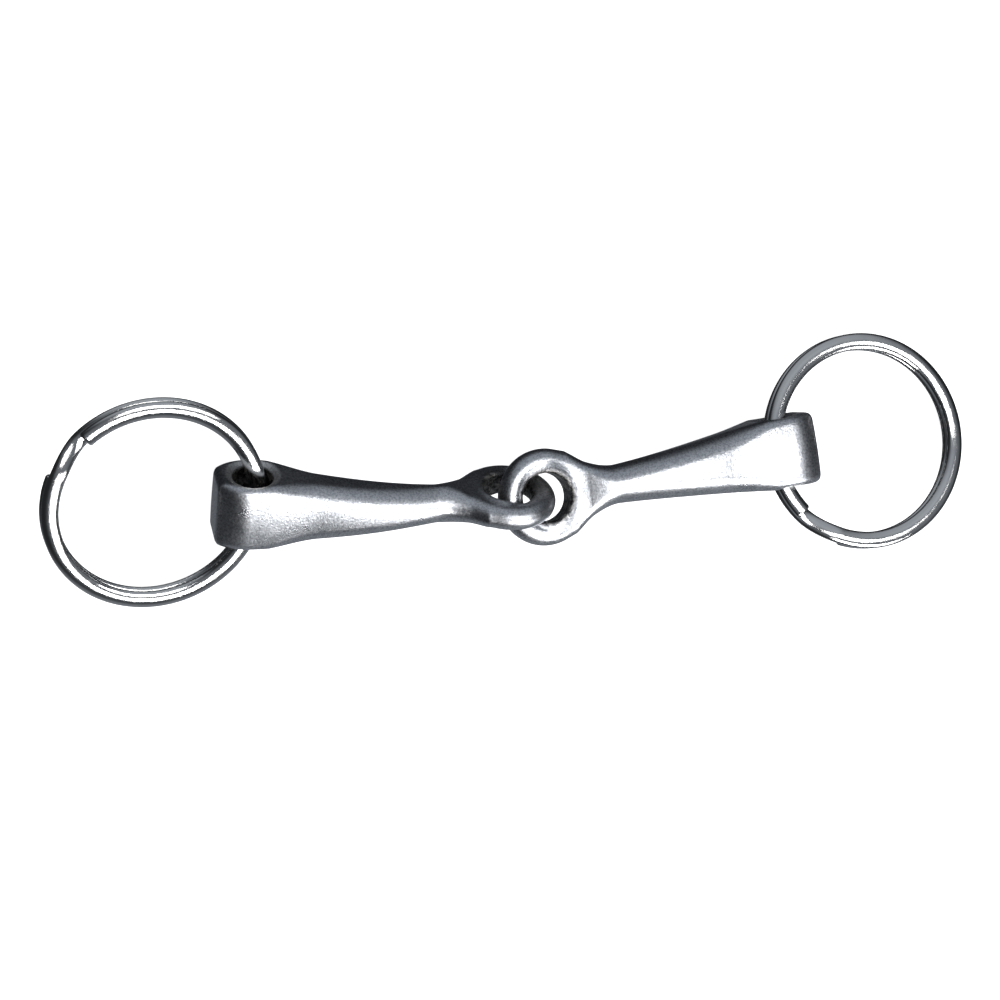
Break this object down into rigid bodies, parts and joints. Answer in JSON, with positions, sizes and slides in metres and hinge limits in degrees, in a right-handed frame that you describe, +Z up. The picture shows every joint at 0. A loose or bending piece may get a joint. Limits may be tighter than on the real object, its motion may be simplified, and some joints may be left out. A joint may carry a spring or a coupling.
{
  "type": "snaffle bit",
  "caption": "Small single-jointed snaffle bit: two tapered steel cannons linked eye to eye, with a loose split ring through each flared outer end.",
  "frame": {"origin": "middle of the bounding box, on the surface that the bit lies on", "axes": "+X from the left ring to the right ring along the mouthpiece, +Z up from the surface"},
  "size_m": [0.139, 0.0384, 0.0149],
  "materials": {
    "cannon_steel": "satin cast stainless steel, lightly tumbled",
    "ring_plate": "bright nickel-plated spring steel wire"
  },
  "bodies": {
    "right_half": {"right_cannon": "cannon_steel"},
    "left_half": {"left_cannon": "cannon_steel"},
    "left_loose_ring": {"left_ring": "ring_plate"},
    "right_loose_ring": {"right_ring": "ring_plate"}
  },
  "joints": [
    {"name": "mouthpiece_fold", "type": "hinge", "parent": "right_half", "child": "left_half", "pos_m": [0.00274, -0.00399, 0.00785], "axis": [0.0661, 0.0284, 0.9974], "range_deg": [-110, 110]},
    {"name": "left_ring_swivel", "type": "hinge", "parent": "left_half", "child": "left_loose_ring", "pos_m": [-0.03953, -0.00458, 0.00645], "axis": [-0.0286, 0.8666, 0.4982], "range_deg": [-120, 120]},
    {"name": "right_ring_swivel", "type": "hinge", "parent": "right_half", "child": "right_loose_ring", "pos_m": [0.03963, 0.00179, 0.00491], "axis": [-0.1611, 0.9868, -0.0174], "range_deg": [-120, 120]}
  ]
}
